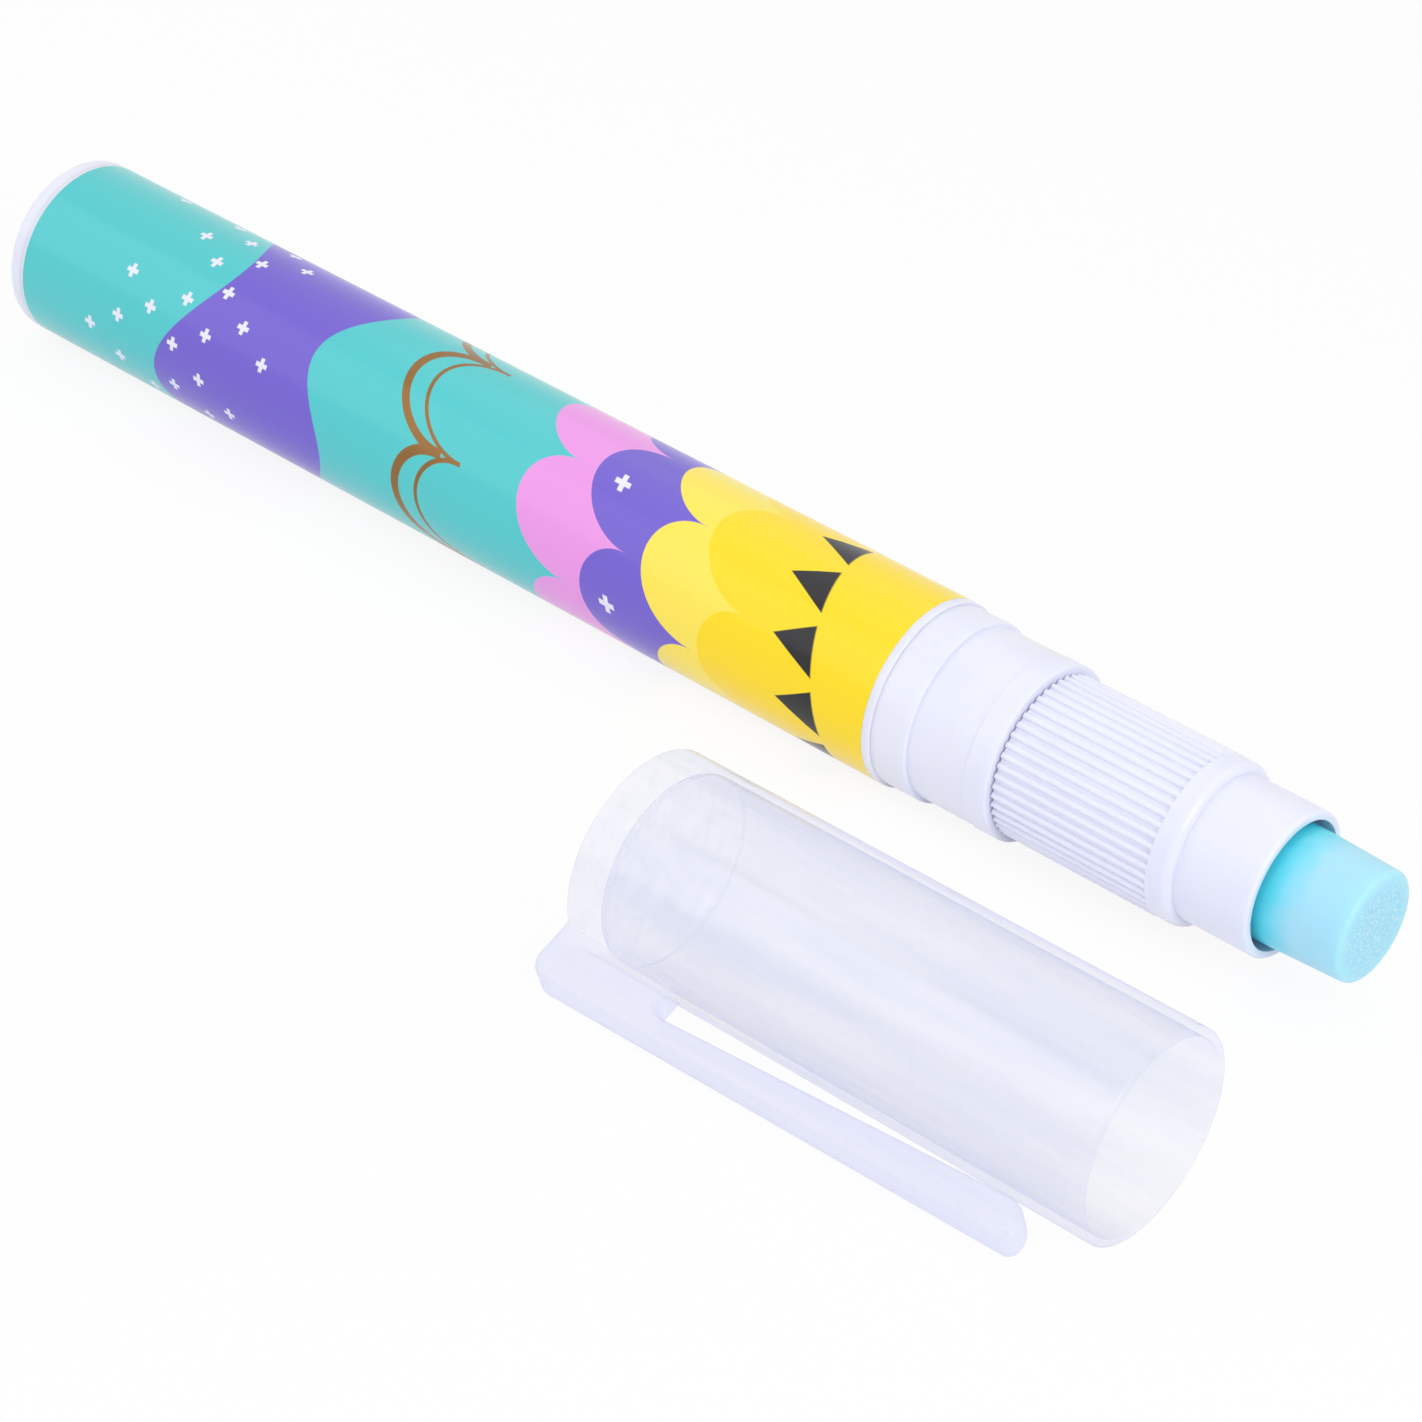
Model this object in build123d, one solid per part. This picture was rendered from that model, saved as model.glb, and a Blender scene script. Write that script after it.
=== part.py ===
from build123d import *
import os
from math import asin, atan2, degrees, hypot

# Pen-type twist-up glue stick, lying on a table with its clear cap taken off beside it.
# All sizes in millimetres. While the pieces are modelled, X runs along the pen axis
# from the tail end, at 0, to the nozzle, and the pen axis is at Y = Z = 0.
# At the end everything moves so that the origin is under the middle of the whole
# object, on the table.

# Fits and gaps
running_fit = 0.08       # radial, between pieces that turn or slide on each other
fixed_fit = 0.02         # radial, between pieces that are pressed or snapped together
end_play = 0.15          # axial, where a turning piece meets a fixed one
stop_gap = 0.3           # axial, left at the end of the glue's travel
overrun = 1.0            # how far a cutter runs past the faces that it opens
edge_tolerance = 0.01    # for finding an edge by its size and place

# Barrel, the white tube that the hand holds
barrel_radius = 8.0
barrel_wall = 0.95
barrel_length = 97.1
barrel_lip_length = 0.7          # bare ring in front of the label
barrel_lip_rounding = 0.15

# Printed film wrapped round the barrel
label_thickness = 0.1
label_tail_margin = 0.36         # bare ring between the label and the tail plug

# Tail plug
plug_flange_length = 1.5
plug_edge_rounding = 0.6
plug_spigot_length = 8.0
plug_spigot_wall = 1.2
plug_spigot_chamfer = 0.5

# Front collar, fixed in the mouth of the barrel, with the neck that the cap fits
collar_flange_inset = 0.25       # how much smaller the flange's radius is than the barrel's
collar_flange_length = 3.4
collar_spigot_wall = 0.85        # inside the barrel, round the glue tube
collar_spigot_length = 14.0
collar_spigot_chamfer = 0.4
neck_wall = 1.22
neck_length = 5.5
bead_rise = 0.08                 # height of the cap's snap bead above the neck
bead_length = 2.2
bead_rounding = 0.05
collar_edge_rounding = 0.12

# Glue tube, the inner tube that turns with the grip
glue_tube_wall = 0.67
snap_ring_rise = 0.5             # holds the tube behind the collar
snap_ring_length = 1.5
tube_socket_depth = 3.0          # how far the tube reaches into the grip

# Friction ring in the collar, which keeps the grip from turning by itself
ring_section = 0.65
ring_length = 1.6
ring_chamfer = 0.25
ring_inset = 2.6                 # from the collar's step to the ring

# Twist grip with its nozzle
grip_ribbed_length = 14.6
grip_wall = 0.5                  # round the glue tube, under the ribs
rib_radius = 0.27
rib_count = 48
shoulder_length = 2.0
shoulder_step = 0.75             # from the nozzle up to the shoulder
shoulder_rounding_share = 0.9    # of that step
nozzle_length = 6.7
nozzle_wall = 0.67
nozzle_rounding = 0.3

# Glue stick, shown as far out as in the photograph
glue_length = 54.0
glue_showing = 7.3
glue_worn_length = 6.5           # the end that use has tapered
glue_worn_taper = 0.25           # how much smaller its radius is at the tip
glue_edge_rounding = 0.45
retract_travel = 9.0
advance_travel = 40.0

# Carrier, the cup that holds the rear end of the glue
carrier_base_thickness = 2.0
carrier_cup_depth = 5.0
carrier_cup_wall = 0.48

# Push rod, nut and guide of the feed
rod_share = 0.54                 # the rod's radius, of the glue's
rod_flat_share = 0.77            # from the axis to each of the two flats, of the rod's radius
rod_pin_share = 0.58             # the pin's radius, of the rod's
rod_stop_rise = 0.8              # of the stop above the rod
rod_stop_length = 1.5
nut_body_length = 6.0
nut_flange_length = 1.0
guide_length = 4.0
guide_hub_wall = 1.6
guide_rim_wall = 0.9
guide_web_thickness = 1.6

# Clear cap with its clip, lying beside the pen
cap_wall = 0.66                  # at the mouth
cap_draft = 0.05                 # how much smaller the closed end's radius is
cap_length = 44.8
cap_end_wall = 2.3
cap_end_rounding = 0.25
cap_inside_rounding = 0.9
cap_mouth_rounding = 0.25
cap_end_from_tail = 103.9        # where its closed end lies, along the pen
cap_aside = 41.5                 # and how far from the pen axis
cap_yaw = 1.08                   # degrees, its turn against the pen axis

# Clip, moulded in one piece with the cap
clip_width = 2.8
clip_root_height = 4.45          # outer face above the cap, at the root
clip_tip_height = 4.05           # and at the tip
clip_reach = 42.0                # from the closed end to the tip
clip_slot_start = 10.0
clip_slot_root_height = 2.6
clip_slot_tip_height = 0.9
clip_root_rounding = 1.6
clip_slot_rounding = 1.0
clip_tip_rounding = 0.9
clip_nose_rounding = 2.0
clip_edge_rounding = 0.5

# Radii of the pieces round the pen axis, each worked out from the piece outside it
barrel_bore_radius = barrel_radius - barrel_wall
collar_flange_radius = barrel_radius - collar_flange_inset
collar_bore_radius = barrel_bore_radius - fixed_fit - collar_spigot_wall
neck_radius = collar_bore_radius + neck_wall
bead_radius = neck_radius + bead_rise
glue_tube_radius = collar_bore_radius - running_fit
glue_tube_bore_radius = glue_tube_radius - glue_tube_wall
grip_base_radius = glue_tube_radius + fixed_fit + grip_wall
nozzle_radius = glue_tube_bore_radius + nozzle_wall
shoulder_radius = nozzle_radius + shoulder_step
carrier_radius = glue_tube_bore_radius - running_fit
glue_radius = carrier_radius - carrier_cup_wall - fixed_fit
rod_radius = rod_share * glue_radius
rod_flat_distance = rod_flat_share * rod_radius
rod_pin_radius = rod_pin_share * rod_radius
rod_stop_radius = rod_radius + rod_stop_rise
cap_bore_radius = bead_radius + fixed_fit
cap_radius = cap_bore_radius + cap_wall

# Stations along the pen, worked out from the lengths above
barrel_front = plug_flange_length + barrel_length
label_rear = plug_flange_length + label_tail_margin
label_front = barrel_front - barrel_lip_length
collar_step = barrel_front + collar_flange_length
bead_rear = collar_step + neck_length
collar_front = bead_rear + bead_length
collar_rear = barrel_front - collar_spigot_length
grip_rear = collar_front + end_play
shoulder_rear = grip_rear + grip_ribbed_length
shoulder_front = shoulder_rear + shoulder_length
nozzle_rim = shoulder_front + nozzle_length
glue_tube_front = grip_rear + tube_socket_depth
glue_tip = nozzle_rim + glue_showing
glue_rear = glue_tip - glue_length
carrier_rear = glue_rear - carrier_base_thickness
nut_front = carrier_rear - retract_travel - stop_gap
nut_rear = nut_front - nut_body_length - nut_flange_length
guide_front = nut_rear - end_play
guide_rear = guide_front - guide_length
rod_rear = guide_rear - stop_gap - advance_travel - rod_stop_length
clip_lie_angle = degrees(
    asin(cap_radius / hypot(cap_radius + clip_root_height, clip_width / 2))
    - atan2(clip_width / 2, cap_radius + clip_root_height)
)


def turned(*outline):
    """A solid turned about the X axis, from the (x, radius) corners of half its section."""
    return revolve(make_face(Polyline(*outline, close=True)), Axis.X)


def tube(rear, front, outer_radius, inner_radius):
    """A plain round tube between two stations."""
    return turned(
        (rear, inner_radius),
        (rear, outer_radius),
        (front, outer_radius),
        (front, inner_radius),
    )


def circles_at(solid, station, radius):
    """The round edges of a turned solid at one station and radius."""
    return [
        edge
        for edge in solid.edges().filter_by(GeomType.CIRCLE)
        if abs(edge.arc_center.X - station) < edge_tolerance
        and abs(edge.radius - radius) < edge_tolerance
    ]


def rounded(solid, station, radius, rounding):
    """The solid with its round edge at one station and radius rounded off."""
    return fillet(circles_at(solid, station, radius), rounding)


def two_flat_section(radius, flat_distance):
    """A round section with two opposite flats, square to the X axis."""
    section = Circle(radius) & Rectangle(2 * radius, 2 * flat_distance)
    return Plane.YZ * section


def make_barrel_tube():
    """White tube with a shallow recess that the label fills."""
    recess_radius = barrel_radius - label_thickness
    body = turned(
        (plug_flange_length, barrel_bore_radius),
        (plug_flange_length, barrel_radius),
        (label_rear, barrel_radius),
        (label_rear, recess_radius),
        (label_front, recess_radius),
        (label_front, barrel_radius),
        (barrel_front, barrel_radius),
        (barrel_front, barrel_bore_radius),
    )
    return rounded(body, barrel_front, barrel_radius, barrel_lip_rounding)


def make_label_film():
    """Printed film that fills the barrel's recess."""
    return tube(label_rear, label_front, barrel_radius, barrel_radius - label_thickness)


def make_tail_plug():
    """Closes the tail: a rounded disc with a hollow spigot inside the barrel."""
    spigot_radius = barrel_bore_radius - fixed_fit
    spigot_bore = spigot_radius - plug_spigot_wall
    spigot_front = plug_flange_length + plug_spigot_length
    body = turned(
        (0, 0),
        (0, barrel_radius),
        (plug_flange_length, barrel_radius),
        (plug_flange_length, spigot_radius),
        (spigot_front, spigot_radius),
        (spigot_front, spigot_bore),
        (plug_flange_length, spigot_bore),
        (plug_flange_length, 0),
    )
    body = chamfer(circles_at(body, spigot_front, spigot_radius), plug_spigot_chamfer)
    return rounded(body, 0, barrel_radius, plug_edge_rounding)


def make_front_collar():
    """Fixed collar: spigot in the barrel, flange, neck and snap bead for the cap."""
    bore = collar_bore_radius
    spigot_radius = barrel_bore_radius - fixed_fit
    groove_radius = bore + ring_section
    groove_rear = collar_step + ring_inset
    groove_front = groove_rear + ring_length
    body = turned(
        (collar_rear, bore),
        (collar_rear, spigot_radius),
        (barrel_front, spigot_radius),
        (barrel_front, collar_flange_radius),
        (collar_step, collar_flange_radius),
        (collar_step, neck_radius),
        (bead_rear, neck_radius),
        (bead_rear, bead_radius),
        (collar_front, bead_radius),
        (collar_front, bore),
        (groove_front, bore),
        (groove_front, groove_radius),
        (groove_rear, groove_radius),
        (groove_rear, bore),
    )
    body = chamfer(circles_at(body, collar_rear, spigot_radius), collar_spigot_chamfer)
    body = rounded(body, collar_step, collar_flange_radius, collar_edge_rounding)
    body = rounded(body, bead_rear, bead_radius, bead_rounding)
    return rounded(body, collar_front, bead_radius, collar_edge_rounding)


def make_friction_ring():
    """Soft ring in the collar's groove that rubs on the glue tube."""
    inner = glue_tube_radius + running_fit / 2
    outer = collar_bore_radius + ring_section - fixed_fit
    rear = collar_step + ring_inset + fixed_fit
    front = rear + ring_length - 2 * fixed_fit
    body = tube(rear, front, outer, inner)
    inner_edges = circles_at(body, rear, inner) + circles_at(body, front, inner)
    return chamfer(inner_edges, ring_chamfer)


def make_glue_tube():
    """Inner tube that turns with the grip, held behind the collar by its snap ring."""
    snap_front = collar_rear - end_play
    snap_rear = snap_front - snap_ring_length
    snap_radius = glue_tube_radius + snap_ring_rise
    rear = nut_rear + nut_flange_length
    return turned(
        (rear, glue_tube_bore_radius),
        (rear, glue_tube_radius),
        (snap_rear - snap_ring_rise, glue_tube_radius),
        (snap_rear, snap_radius),
        (snap_front, snap_radius),
        (snap_front, glue_tube_radius),
        (glue_tube_front, glue_tube_radius),
        (glue_tube_front, glue_tube_bore_radius),
    )


def make_twist_grip():
    """Ribbed grip with a rounded shoulder and the nozzle, in one moulding."""
    rib = Pos(grip_base_radius, 0) * Circle(rib_radius)
    section = Circle(grip_base_radius)
    section += [location * rib for location in PolarLocations(0, rib_count)]
    ribbed = Pos(grip_rear, 0, 0) * extrude(Plane.YZ * section, grip_ribbed_length)
    front = turned(
        (shoulder_rear, 0),
        (shoulder_rear, shoulder_radius),
        (shoulder_front, shoulder_radius),
        (shoulder_front, nozzle_radius),
        (nozzle_rim, nozzle_radius),
        (nozzle_rim, 0),
    )
    shoulder_rounding = shoulder_rounding_share * (shoulder_radius - nozzle_radius)
    front = rounded(front, shoulder_front, shoulder_radius, shoulder_rounding)
    front = rounded(front, nozzle_rim, nozzle_radius, nozzle_rounding)
    socket = tube(grip_rear - overrun, glue_tube_front, glue_tube_radius + fixed_fit, 0)
    bore = tube(grip_rear, nozzle_rim + overrun, glue_tube_bore_radius, 0)
    return ribbed + front - socket - bore


def make_drive_nut():
    """Nut pressed in the rear of the glue tube; the rod's thread runs in its bore."""
    bore = rod_radius + running_fit
    flange_front = nut_rear + nut_flange_length
    return turned(
        (nut_rear, bore),
        (nut_rear, glue_tube_radius),
        (flange_front, glue_tube_radius),
        (flange_front, glue_tube_bore_radius - fixed_fit),
        (nut_front, glue_tube_bore_radius - fixed_fit),
        (nut_front, bore),
    )


def make_rod_guide():
    """Bulkhead fixed in the barrel; its two-flat hole keeps the rod from turning."""
    hub_radius = rod_radius + running_fit + guide_hub_wall
    rim_radius = barrel_bore_radius - fixed_fit
    web_rear = (guide_rear + guide_front - guide_web_thickness) / 2
    web_front = web_rear + guide_web_thickness
    body = turned(
        (guide_rear, 0),
        (guide_rear, hub_radius),
        (web_rear, hub_radius),
        (web_rear, rim_radius - guide_rim_wall),
        (guide_rear, rim_radius - guide_rim_wall),
        (guide_rear, rim_radius),
        (guide_front, rim_radius),
        (guide_front, rim_radius - guide_rim_wall),
        (web_front, rim_radius - guide_rim_wall),
        (web_front, hub_radius),
        (guide_front, hub_radius),
        (guide_front, 0),
    )
    hole = two_flat_section(rod_radius + running_fit, rod_flat_distance + running_fit)
    cutter = extrude(hole, guide_length + 2 * overrun)
    return body - Pos(guide_rear - overrun, 0, 0) * cutter


def make_push_rod():
    """Rod with two flats, a stop at its tail and a pin that snaps into the carrier."""
    stop_front = rod_rear + rod_stop_length
    shaft = extrude(two_flat_section(rod_radius, rod_flat_distance), carrier_rear - stop_front)
    stop = tube(rod_rear, stop_front, rod_stop_radius, 0)
    pin = tube(carrier_rear, glue_rear, rod_pin_radius, 0)
    return stop + Pos(stop_front, 0, 0) * shaft + pin


def make_carrier():
    """Cup that slides in the glue tube and pushes the glue."""
    inner = glue_radius + fixed_fit
    cup_front = glue_rear + carrier_cup_depth
    return turned(
        (carrier_rear, rod_pin_radius + fixed_fit),
        (carrier_rear, carrier_radius),
        (cup_front, carrier_radius),
        (cup_front, inner),
        (glue_rear, inner),
        (glue_rear, rod_pin_radius + fixed_fit),
    )


def make_glue_stick():
    """Solid round glue, its end tapered and rounded by use."""
    tip_radius = glue_radius - glue_worn_taper
    body = turned(
        (glue_rear, 0),
        (glue_rear, glue_radius),
        (glue_tip - glue_worn_length, glue_radius),
        (glue_tip, tip_radius),
        (glue_tip, 0),
    )
    return rounded(body, glue_tip, tip_radius, glue_edge_rounding)


def make_cap_shell():
    """Thin cap turned about X, closed end at 0 and mouth at the cap's length."""
    shell = turned(
        (0, 0),
        (0, cap_radius - cap_draft),
        (cap_length, cap_radius),
        (cap_length, 0),
    )
    shell = rounded(shell, 0, cap_radius - cap_draft, cap_end_rounding)
    return rounded(shell, cap_length, cap_radius, cap_mouth_rounding)


def make_clip():
    """Clip along the cap, pointing to -Y, reaching into the cap's wall at its root."""
    def corner(along, height):
        return (along, -(cap_radius + height))

    seat_height = -(cap_radius - cap_bore_radius) / 2
    outline = Polyline(
        corner(0, seat_height),
        corner(0, clip_root_height),
        corner(clip_reach, clip_tip_height),
        corner(clip_reach, clip_slot_tip_height),
        corner(clip_slot_start, clip_slot_root_height),
        corner(clip_slot_start, seat_height),
        close=True,
    )
    side = make_face(outline)
    roundings = (
        (corner(0, clip_root_height), clip_root_rounding),
        (corner(clip_reach, clip_tip_height), clip_tip_rounding),
        (corner(clip_reach, clip_slot_tip_height), clip_nose_rounding),
        (corner(clip_slot_start, clip_slot_root_height), clip_slot_rounding),
    )
    for place, rounding in roundings:
        nearest = side.vertices().sort_by_distance(place)[0]
        side = fillet(nearest, rounding)
    clip = extrude(side, clip_width / 2, both=True)
    outer_height = (clip_root_height + clip_tip_height) / 2
    outer_faces = clip.faces().filter_by(Plane.XY)
    long_edges = [
        edge
        for face in outer_faces
        for edge in face.edges()
        if edge.center().Y < -(cap_radius + outer_height / 2) and edge.center().X > 0
        and edge.length > clip_tip_rounding / 2
    ]
    return fillet(long_edges, clip_edge_rounding)


def make_cap():
    """Cap and clip in one piece, laid on the table beside the pen."""
    bore = tube(cap_end_wall, cap_length + overrun, cap_bore_radius, 0)
    bore = rounded(bore, cap_end_wall, cap_bore_radius, cap_inside_rounding)
    cap = make_cap_shell() + make_clip() - bore
    axis_height = cap_radius - barrel_radius
    laid = Pos(cap_end_from_tail, -cap_aside, axis_height) * Rotation(0, 0, cap_yaw)
    return laid * Rotation(clip_lie_angle, 0, 0) * cap


makers = {
    "barrel_tube": make_barrel_tube,
    "label_film": make_label_film,
    "tail_plug": make_tail_plug,
    "front_collar": make_front_collar,
    "friction_ring": make_friction_ring,
    "rod_guide": make_rod_guide,
    "twist_grip": make_twist_grip,
    "glue_tube": make_glue_tube,
    "drive_nut": make_drive_nut,
    "push_rod": make_push_rod,
    "glue_carrier": make_carrier,
    "glue_stick": make_glue_stick,
    "cap": make_cap,
}
pieces = {name: make() for name, make in makers.items()}

# Moves the origin from the tail end of the pen axis to the table, under the middle
box = pieces["cap"].bounding_box()
for piece in pieces.values():
    box = box.add(piece.bounding_box())
to_origin = Pos(-box.center().X, -box.center().Y, -box.min.Z)

os.makedirs("parts", exist_ok=True)
for name, piece in pieces.items():
    placed = to_origin * piece
    placed.label = name
    export_step(placed, os.path.join("parts", name + ".step"))

# Places that the record states, in the finished frame
tail_end = to_origin.position
print("tail end, on the pen axis, at:", [round(side, 4) for side in tail_end])
print("box:", [round(side, 3) for side in box.size])
print("stations from the tail:", round(label_rear, 3), round(label_front, 3), round(collar_step, 3),
      round(bead_rear, 3), round(nozzle_rim, 3), round(glue_tip, 3))
print("clip lies", round(clip_lie_angle, 3), "degrees below level")
print("rod at full retraction starts at", round(rod_rear - retract_travel, 3))
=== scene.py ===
from math import hypot, pi, radians, tau

import bpy
from mathutils import Matrix, Vector

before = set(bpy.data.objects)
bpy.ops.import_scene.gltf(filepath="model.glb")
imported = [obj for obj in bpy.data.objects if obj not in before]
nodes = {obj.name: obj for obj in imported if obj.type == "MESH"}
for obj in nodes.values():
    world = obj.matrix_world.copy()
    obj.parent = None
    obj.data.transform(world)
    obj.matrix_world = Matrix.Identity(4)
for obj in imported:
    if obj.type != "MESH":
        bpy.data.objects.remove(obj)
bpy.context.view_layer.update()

# Lengths are in millimetres here, and turn into metres where Blender takes them
MM = 0.001

# The pen's axis runs along X through its tail end, and its stations count from there
TAIL = Vector((-74.4206, 22.2653, 8.0))
BARREL_RADIUS = 8.0
GLUE_TIP = 140.45
GLUE_RADIUS = 4.85

# The cap's axis runs from its closed end, turned a little against the pen's
CAP_END = TAIL + Vector((103.9, -41.5, 0.16))
CAP_YAW = radians(1.08)
CAP_RADIUS = 8.16
CAP_BORE_END = 3.2

# Camera, fitted to the photograph's outlines
CAMERA_PLACE = Vector((199.0022, -257.1260, 157.5639))
CAMERA_RIGHT = Vector((0.75015058, 0.63334849, 0.19011523))
CAMERA_UP = Vector((-0.41068108, 0.22087804, 0.88462079))
PHOTO_SIDE = 1422
FOCAL_PIXELS = 4626.96
SENSOR = 36.0
NEAREST_SEEN = 10
FARTHEST_SEEN = 20000

# Print on the label, with stations from the tail and half widths of lines
PRINT_EDGE = 0.05
WAVE_REAR = 21.0
WAVE_FRONT = 37.0
SIGNS_START = 8.8
SIGN_PITCH = 3.4
SIGN_COLUMNS = 12
SIGN_ARM = 0.62
SIGN_HALF_WIDTH = 0.2
FULLEST_SIGN_ROW = 3.0
SIGN_CHANCE = 1.25
SIGN_CHANCE_LOST_PER_ROW = 0.33
SCALLOPS = 5
SCALLOP_RADIUS = pi * BARREL_RADIUS / SCALLOPS
GOLD_LINES = ((51.0, 0.42), (53.4, 0.2))
LARGE_SIGNS = 69.6
LARGE_SIGN_ARM = 0.8
LARGE_SIGN_HALF_WIDTH = 0.25
TRIANGLE_POINTS = 87.4
TRIANGLE_LENGTH = 4.0
TRIANGLE_SLOPE = 2.0

# Glue, back from its tip: deep with painted shade towards the nozzle from the first of these two, pale
# where drying has set in from the second, and grainy on its end inside this margin
GLUE_PAINTED_SHADE_FULL = 7.1
GLUE_DRIED_PALE_FULL = 3.8
GLUE_END_DEPTH = 0.35
GLUE_END_MARGIN = 0.7

# Shares of haze in the clear plastic
WALL_HAZE = 0.1
FLOW_HAZE = 0.08
CLIP_HAZE = 0.3
RING_HAZE = 0.25

# Studio: the light all round, the floor, and the lamps with their places, the points
# that they face, their widths and heights, and their power in watts
LIGHT_ALL_ROUND = 0.56
FLOOR_HALF = 2500
FLOOR_GLOW = 0.9
SHADOW_REACH = 200.0
PLAIN_WHITE_FROM = 700.0
LAMPS = (
    ("overhead", (0, 60, 560), (0, 0, 0), (900, 700), 1.03),
    ("front", (-290, -375, 230), (0, 0, 8), (620, 440), 0.6),
    ("right", (430, -190, 270), (50, 22, 8), (260, 260), 0.9),
)


def linear(red, green, blue):
    """A colour as a picture shows it, 0 to 255, in the linear values that shaders take."""
    def one(value):
        share = value / 255
        return share / 12.92 if share <= 0.04045 else ((share + 0.055) / 1.055) ** 2.4
    return (one(red), one(green), one(blue), 1.0)


TEAL = linear(78, 203, 206)
PURPLE = linear(114, 94, 208)
PINK = linear(238, 154, 232)
YELLOW = linear(255, 222, 0)
PALE_YELLOW = linear(255, 232, 84)
INK = linear(12, 12, 22)
GOLD = linear(140, 98, 40)
PRINT_WHITE = linear(236, 236, 252)
WHITE_PLASTIC = linear(235, 237, 254)
SHADED_PLASTIC = linear(232, 234, 253)
INNER_PLASTIC = linear(226, 228, 236)
SOFT_RING = linear(205, 207, 214)
# Glue colours: deep with painted shade from the nozzle, and pale where drying has set in
DEEP_GLUE_PAINTED_SHADE = linear(80, 220, 240)
PALE_GLUE = linear(174, 227, 248)
CUT_GLUE = linear(160, 224, 250)
GLUE_SPECKS = linear(214, 240, 254)
CLEAR_TINT = linear(254, 254, 255)
CLEAR_STREAK = linear(251, 252, 255)
CLEAR_EDGE = linear(228, 231, 248)
CLEAR_MILK = linear(236, 238, 255)
FLOOR_WHITE = linear(250, 250, 252)
WHITE = (1.0, 1.0, 1.0, 1.0)

# Rows of scallops: station, shift round the barrel and ink
SCALLOP_ROWS = (
    (65.0, 0.5, PINK),
    (71.8, 0.0, PURPLE),
    (78.6, 0.5, PALE_YELLOW),
    (84.4, 0.0, YELLOW),
)


class Number:
    """A number that shader nodes work out. It adds, multiplies and so on as usual."""

    def __init__(self, nodes, socket):
        self.nodes = nodes
        self.socket = socket

    def math(self, operation, *others):
        """The result of one maths node, with this number as its first input."""
        made = self.nodes.node("ShaderNodeMath", operation=operation)
        for socket, value in zip(made.inputs, (self, *others)):
            self.nodes.feed(socket, value)
        return Number(self.nodes, made.outputs[0])

    def __add__(self, other):
        return self.math("ADD", other)

    def __sub__(self, other):
        return self.math("SUBTRACT", other)

    def __mul__(self, other):
        return self.math("MULTIPLY", other)

    def __truediv__(self, other):
        return self.math("DIVIDE", other)

    def __neg__(self):
        return self * -1.0

    def size(self):
        """The number without its sign."""
        return self.math("ABSOLUTE")

    def most(self, other):
        """The larger of two numbers: where both of two shapes are, as distances."""
        return self.math("MAXIMUM", other)

    def least(self, other):
        """The smaller of two numbers: where either of two shapes is, as distances."""
        return self.math("MINIMUM", other)

    def length(self, other):
        """The length of a step with this number and the other as its sides."""
        return (self * self + other * other).math("SQRT")

    def ramp(self, low, high):
        """0 at low, 1 at high, smooth between."""
        made = self.nodes.node(
            "ShaderNodeMapRange",
            interpolation_type="SMOOTHSTEP",
            inputs={"Value": self, "From Min": low, "From Max": high},
        )
        return Number(self.nodes, made.outputs[0])

    def spread(self, low, high):
        """Noise from 0 to 1 as a value from low to high."""
        return self.ramp(0.2, 0.8) * (high - low) + low

    def inside(self):
        """1 where this distance from an edge is below 0, as sharp as print."""
        return self.ramp(PRINT_EDGE, -PRINT_EDGE)


class Nodes:
    """A tree of shader nodes."""

    def __init__(self, tree):
        self.tree = tree

    def feed(self, socket, value):
        """Puts a number, a colour, a Number or another node's output in a socket."""
        if isinstance(value, Number):
            value = value.socket
        if isinstance(value, bpy.types.NodeSocket):
            self.tree.links.new(value, socket)
        else:
            socket.default_value = value

    def node(self, kind, inputs=None, **settings):
        """A new node with its settings and the values of its inputs."""
        made = self.tree.nodes.new(kind)
        for key, value in settings.items():
            setattr(made, key, value)
        for key, value in (inputs or {}).items():
            self.feed(made.inputs[key], value)
        return made

    def mix(self, share, first, second):
        """The first colour where share is 0, the second where it is 1."""
        made = self.node("ShaderNodeMix", data_type="RGBA")
        for socket, value in zip((0, 6, 7), (share, first, second)):
            self.feed(made.inputs[socket], value)
        return made.outputs[2]

    def blend(self, share, first, second):
        """The first shader where share is 0, the second where it is 1."""
        inputs = {0: share, 1: first.outputs[0], 2: second.outputs[0]}
        return self.node("ShaderNodeMixShader", inputs)

    def background_share(self):
        """1 for the rays that show a background: straight, mirrored or through glass."""
        ray = self.node("ShaderNodeLightPath").outputs
        share = Number(self, ray["Is Camera Ray"])
        share = share.most(Number(self, ray["Is Glossy Ray"]))
        return share.most(Number(self, ray["Is Transmission Ray"]))


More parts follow.
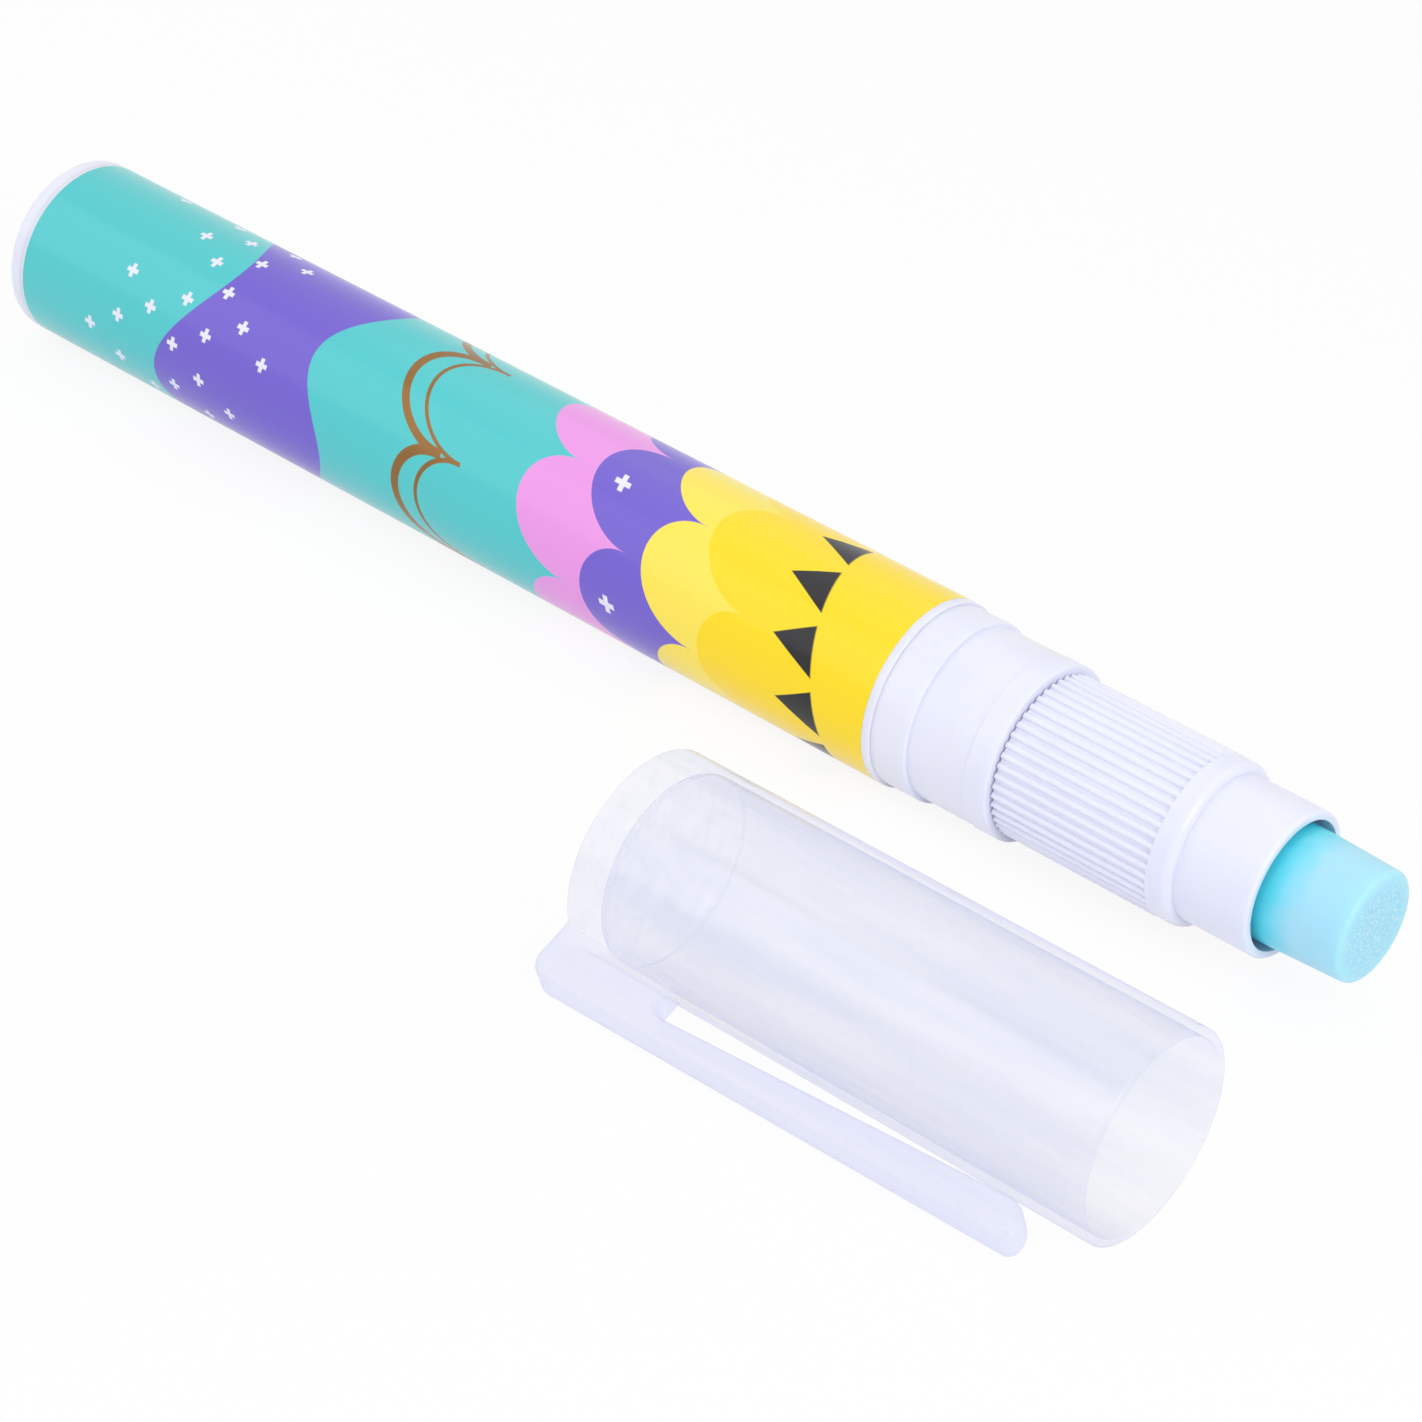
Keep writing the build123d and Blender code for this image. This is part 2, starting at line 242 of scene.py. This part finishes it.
class Shader(Nodes):
    """A material, with its points in millimetres along and across a piece's axis."""

    def __init__(self, name, start=TAIL, yaw=0.0):
        self.material = bpy.data.materials.new(name)
        self.material.use_nodes = True
        super().__init__(self.material.node_tree)
        self.tree.nodes.clear()
        self.output = self.node("ShaderNodeOutputMaterial")
        where = self.node("ShaderNodeTexCoord").outputs["Object"]
        turned = {
            "Vector": where,
            "Location": start * MM,
            "Rotation": (0.0, 0.0, yaw),
            "Scale": (MM, MM, MM),
        }
        self.place = self.node("ShaderNodeMapping", turned, vector_type="TEXTURE").outputs[0]

    def show(self, shader_node):
        """Wires a shader to the material's surface."""
        self.feed(self.output.inputs["Surface"], shader_node.outputs[0])
        return self.material

    def parts(self):
        """How far the point is along the axis, aside of it and above it."""
        split = self.node("ShaderNodeSeparateXYZ", {"Vector": self.place})
        return [Number(self, side) for side in split.outputs]

    def noise(self, bumps, detail=2.0, stretch=(1.0, 1.0, 1.0)):
        """Noise from 0 to 1, with about so many bumps a millimetre."""
        scale = [bumps * share for share in stretch]
        scaled = self.node("ShaderNodeVectorMath", {0: self.place, 1: scale}, operation="MULTIPLY")
        inputs = {"Vector": scaled.outputs[0], "Scale": 1.0, "Detail": detail}
        return Number(self, self.node("ShaderNodeTexNoise", inputs).outputs[0])

    def bump(self, height, depth):
        """A normal for a height from 0 to 1 that stands for so many millimetres."""
        return self.node("ShaderNodeBump", {"Height": height, "Distance": depth * MM}).outputs[0]

    def principled(self, **inputs):
        """The main shader, its inputs named with _ for spaces."""
        named = {key.replace("_", " "): value for key, value in inputs.items()}
        return self.node("ShaderNodeBsdfPrincipled", named)


def give(material, slot, *names):
    """Puts one material on CAD nodes. The slot argument is not used."""
    for name in names:
        mesh = nodes[name].data
        mesh.materials.clear()
        mesh.materials.append(material)


class Label(Shader):
    """The printed film. Its motifs are drawn by distances along and round the barrel."""

    def __init__(self, name):
        super().__init__(name)
        self.along, aside, height = self.parts()
        self.turn = (-aside).math("ARCTAN2", height)
        self.colour = TEAL

    def wave(self, lobes, height, phase):
        """A wave round the barrel."""
        return (self.turn * lobes + phase).math("SINE") * height

    def around(self, count, shift):
        """Distance round the barrel from the middle of the nearest of so many columns."""
        columns = self.turn / tau * count + shift
        return (columns.math("FRACT") - 0.5) * (tau * BARREL_RADIUS / count)

    def scallops(self, ahead, shift):
        """Distance to a row of round scallops, and to all that is ahead of their middles."""
        return (ahead.length(self.around(SCALLOPS, shift)) - SCALLOP_RADIUS).least(-ahead)

    def print(self, distance, ink):
        """Prints one ink where a distance is below 0, over what is there."""
        where = distance.inside()
        self.colour = self.mix(where, self.colour, ink)
        return where


def plus_sign(across, around, arm, half_width):
    """Distance to a plus sign's edge."""
    lengthways = (across.size() - arm).most(around.size() - half_width)
    crossways = (around.size() - arm).most(across.size() - half_width)
    return lengthways.least(crossways)


def make_label():
    """Waves, plus signs, scallops and triangles on teal."""
    label = Label("label_print")

    # Purple wave
    rear = label.wave(lobes=2, height=2.6, phase=0.6) + WAVE_REAR
    front = label.wave(lobes=3, height=1.6, phase=2.0) + WAVE_FRONT
    label.print((rear - label.along).most(label.along - front), PURPLE)

    # White plus signs that spill over its rear edge, fewer towards their first and last rows
    rows = (label.along - SIGNS_START) / SIGN_PITCH
    row = rows.math("FLOOR")
    stagger = row.math("FLOORED_MODULO", 2.0) * 0.5
    column = (label.turn / tau * SIGN_COLUMNS + stagger).math("FLOOR")
    cell = label.node("ShaderNodeCombineXYZ", {0: row, 1: column})
    drawn = label.node("ShaderNodeTexWhiteNoise", {"Vector": cell.outputs[0]})
    from_fullest = (row - FULLEST_SIGN_ROW).size()
    missing = Number(label, drawn.outputs[0]) - SIGN_CHANCE + from_fullest * SIGN_CHANCE_LOST_PER_ROW
    across = (rows.math("FRACT") - 0.5) * SIGN_PITCH
    sign = plus_sign(across, label.around(SIGN_COLUMNS, stagger), SIGN_ARM, SIGN_HALF_WIDTH)
    label.print(sign.most(missing.math("SIGN")), PRINT_WHITE)

    # Gold lines of scallops
    sweep = label.along + label.wave(lobes=1, height=2.5, phase=2.0)
    gold = 0.0
    for station, half_width in GOLD_LINES:
        line = label.scallops(sweep - station, 0.0).size() - half_width
        gold = label.print(line, GOLD).most(gold)

    # Rows of scallops up to the front, with a plus sign on each purple one
    for station, shift, ink in SCALLOP_ROWS:
        label.print(label.scallops(sweep - station, shift), ink)
    column = label.around(SCALLOPS, 0.0)
    sign = plus_sign(sweep - LARGE_SIGNS, column, LARGE_SIGN_ARM, LARGE_SIGN_HALF_WIDTH)
    label.print(sign, PRINT_WHITE)

    # Row of dark triangles that point to the tail
    ahead = sweep - TRIANGLE_POINTS
    side = label.around(2 * SCALLOPS, 0.5).size() * TRIANGLE_SLOPE - ahead
    label.print(side.most(ahead - TRIANGLE_LENGTH) / hypot(1.0, TRIANGLE_SLOPE), INK)

    grain = label.noise(3.0, 3.0)
    ripple = label.noise(0.12, 2.0)
    film = label.principled(
        Base_Color=label.colour,
        Metallic=gold * 0.5,
        Roughness=grain.spread(0.3, 0.36),
        Specular_IOR_Level=0.25,
        Normal=label.bump(grain, 0.003),
        Coat_Weight=0.4,
        Coat_Roughness=0.1,
        Coat_Normal=label.bump(ripple, 0.06),
    )
    return label.show(film)


def make_white_plastic():
    """White moulded plastic, satin, that light gets into."""
    shader = Shader("white_plastic")
    cloud = shader.noise(0.12, 3.0)
    grain = shader.noise(9.0)
    plastic = shader.principled(
        Base_Color=shader.mix(cloud.ramp(0.35, 0.7), WHITE_PLASTIC, SHADED_PLASTIC),
        Roughness=grain.spread(0.28, 0.36),
        Normal=shader.bump(grain, 0.003),
        Subsurface_Weight=0.4,
        Subsurface_Radius=(1.0, 1.0, 1.1),
        Subsurface_Scale=0.5 * MM,
    )
    return shader.show(plastic)


def make_plain_plastic(name, colour, roughness):
    """Unpolished plastic or rubber inside the pen."""
    shader = Shader(name)
    grain = shader.noise(4.0, 3.0)
    plastic = shader.principled(
        Base_Color=colour,
        Roughness=grain.spread(roughness, roughness + 0.1),
        Normal=shader.bump(grain, 0.006),
    )
    return shader.show(plastic)


def make_glue():
    """Waxy translucent glue, frosted and paler where drying has set in, deepened by painted shade
    towards the nozzle, grainy on its end.
    """
    shader = Shader("glue")
    along, aside, height = shader.parts()
    from_tip = -along + GLUE_TIP
    cloud = shader.noise(0.35, 3.0)
    crumbs = shader.noise(4.0, 4.0)
    # Painted shade: the glue goes deeper towards the nozzle, and paler towards the tip where drying has
    # set in
    dried_and_unshaded = (from_tip + (cloud - 0.5) * 2.0).ramp(GLUE_PAINTED_SHADE_FULL, GLUE_DRIED_PALE_FULL)
    colour = shader.mix(dried_and_unshaded, DEEP_GLUE_PAINTED_SHADE, PALE_GLUE)
    in_from_side = -aside.length(height) + GLUE_RADIUS
    end = from_tip.ramp(GLUE_END_DEPTH, 0.1) * in_from_side.ramp(GLUE_END_MARGIN, GLUE_END_MARGIN + 1.0)
    colour = shader.mix(end, colour, CUT_GLUE)
    colour = shader.mix(crumbs.ramp(0.5, 0.66) * end * 0.9, colour, GLUE_SPECKS)
    glue = shader.principled(
        Base_Color=colour,
        Roughness=0.45,
        Normal=shader.bump(crumbs * (end * 0.8 + 0.2), 0.1),
        Subsurface_Weight=0.8,
        Subsurface_Radius=(0.3, 1.0, 1.2),
        Subsurface_Scale=1.6 * MM,
    )
    return shader.show(glue)


def make_clear_plastic():
    """Clear moulded plastic. Each wall tints and hazes what is behind it, and gleams."""
    shader = Shader("clear_plastic", CAP_END, CAP_YAW)
    along, aside, height = shader.parts()
    flow = shader.noise(0.4, 3.0, stretch=(0.1, 1.0, 1.0))
    out = aside.length(height)
    clip = out.ramp(CAP_RADIUS + 0.05, CAP_RADIUS + 0.4)
    inner_wall = out.ramp(CAP_RADIUS - 0.2, CAP_RADIUS - 0.4)
    ring = (along - CAP_BORE_END).size().ramp(0.2, 0.05) * inner_wall
    haze = flow.ramp(0.35, 0.7) * FLOW_HAZE + clip * CLIP_HAZE + ring * RING_HAZE + WALL_HAZE

    weight = shader.node("ShaderNodeLayerWeight", {"Blend": 0.5}).outputs["Facing"]
    grazing = Number(shader, weight).math("POWER", 5.0)
    tint = shader.mix(flow.ramp(0.4, 0.7), CLEAR_TINT, CLEAR_STREAK)
    tint = shader.mix(grazing, tint, CLEAR_EDGE)
    through = shader.node("ShaderNodeBsdfTransparent", {"Color": tint})
    inputs = {"Color": WHITE, "Roughness": 0.15, "Normal": shader.bump(flow, 0.05)}
    gleam = shader.node("ShaderNodeBsdfGlossy", inputs)
    clear = shader.blend(grazing * 0.5 + 0.04, through, gleam)

    lit = shader.node("ShaderNodeBsdfDiffuse", {"Color": CLEAR_MILK})
    lit_through = shader.node("ShaderNodeBsdfTranslucent", {"Color": CLEAR_MILK})
    milk = shader.blend(0.5, lit, lit_through)
    return shader.show(shader.blend(haze, clear, milk))


def make_floor():
    """Pale floor that keeps a faint shadow of the object, and is plain white far from it."""
    shader = Shader("floor", Vector())
    along, aside, _ = shader.parts()
    far = along.length(aside).ramp(SHADOW_REACH, PLAIN_WHITE_FROM)
    glowing = shader.background_share() * (far * (1.0 - FLOOR_GLOW) + FLOOR_GLOW)
    lit = shader.node("ShaderNodeBsdfDiffuse", {"Color": FLOOR_WHITE})
    glow = shader.node("ShaderNodeEmission", {"Color": WHITE, "Strength": 1.0})
    mesh = bpy.data.meshes.new("floor")
    half = FLOOR_HALF * MM
    corners = [(-half, -half, 0), (half, -half, 0), (half, half, 0), (-half, half, 0)]
    mesh.from_pydata(corners, [], [(0, 1, 2, 3)])
    mesh.materials.append(shader.show(shader.blend(glowing, lit, glow)))
    floor = bpy.data.objects.new("floor", mesh)
    bpy.context.scene.collection.objects.link(floor)


def make_world():
    """White all round to look at, and a plain soft light on the object."""
    world = bpy.data.worlds.new("studio")
    world.use_nodes = True
    bpy.context.scene.world = world
    studio = Nodes(world.node_tree)
    background = world.node_tree.nodes["Background"]
    studio.feed(background.inputs["Color"], WHITE)
    strength = studio.background_share() * (1.0 - LIGHT_ALL_ROUND) + LIGHT_ALL_ROUND
    studio.feed(background.inputs["Strength"], strength)


def make_lamp(name, place, target, size, power):
    """A soft rectangular lamp that faces a point."""
    light = bpy.data.lights.new(name, "AREA")
    light.shape = "RECTANGLE"
    light.size = size[0] * MM
    light.size_y = size[1] * MM
    light.energy = power
    lamp = bpy.data.objects.new(name, light)
    lamp.location = Vector(place) * MM
    facing = Vector(target) - Vector(place)
    lamp.rotation_mode = "QUATERNION"
    lamp.rotation_quaternion = facing.to_track_quat("-Z", "Y")
    bpy.context.scene.collection.objects.link(lamp)


def make_camera():
    """The photograph's camera."""
    data = bpy.data.cameras.new("camera")
    data.sensor_width = SENSOR
    data.lens = FOCAL_PIXELS / PHOTO_SIDE * SENSOR
    data.clip_start = NEAREST_SEEN * MM
    data.clip_end = FARTHEST_SEEN * MM
    camera = bpy.data.objects.new("camera", data)
    back = CAMERA_RIGHT.cross(CAMERA_UP)
    turn = Matrix((CAMERA_RIGHT, CAMERA_UP, back)).transposed()
    camera.matrix_world = Matrix.Translation(CAMERA_PLACE * MM) @ turn.to_4x4()
    bpy.context.scene.collection.objects.link(camera)
    bpy.context.scene.camera = camera


give(make_label(), "label_print", "label_film")
give(make_white_plastic(), "white_plastic", "barrel_tube", "tail_plug", "front_collar", "twist_grip")
give(make_glue(), "glue", "glue_stick")
give(make_clear_plastic(), "clear_plastic", "cap")
inner_names = ("rod_guide", "glue_tube", "drive_nut", "push_rod", "glue_carrier")
give(make_plain_plastic("inner_plastic", INNER_PLASTIC, 0.4), "inner_plastic", *inner_names)
give(make_plain_plastic("soft_ring", SOFT_RING, 0.7), "soft_ring", "friction_ring")

make_floor()
make_world()
for lamp in LAMPS:
    make_lamp(*lamp)
make_camera()
bpy.context.scene.view_settings.view_transform = "Standard"
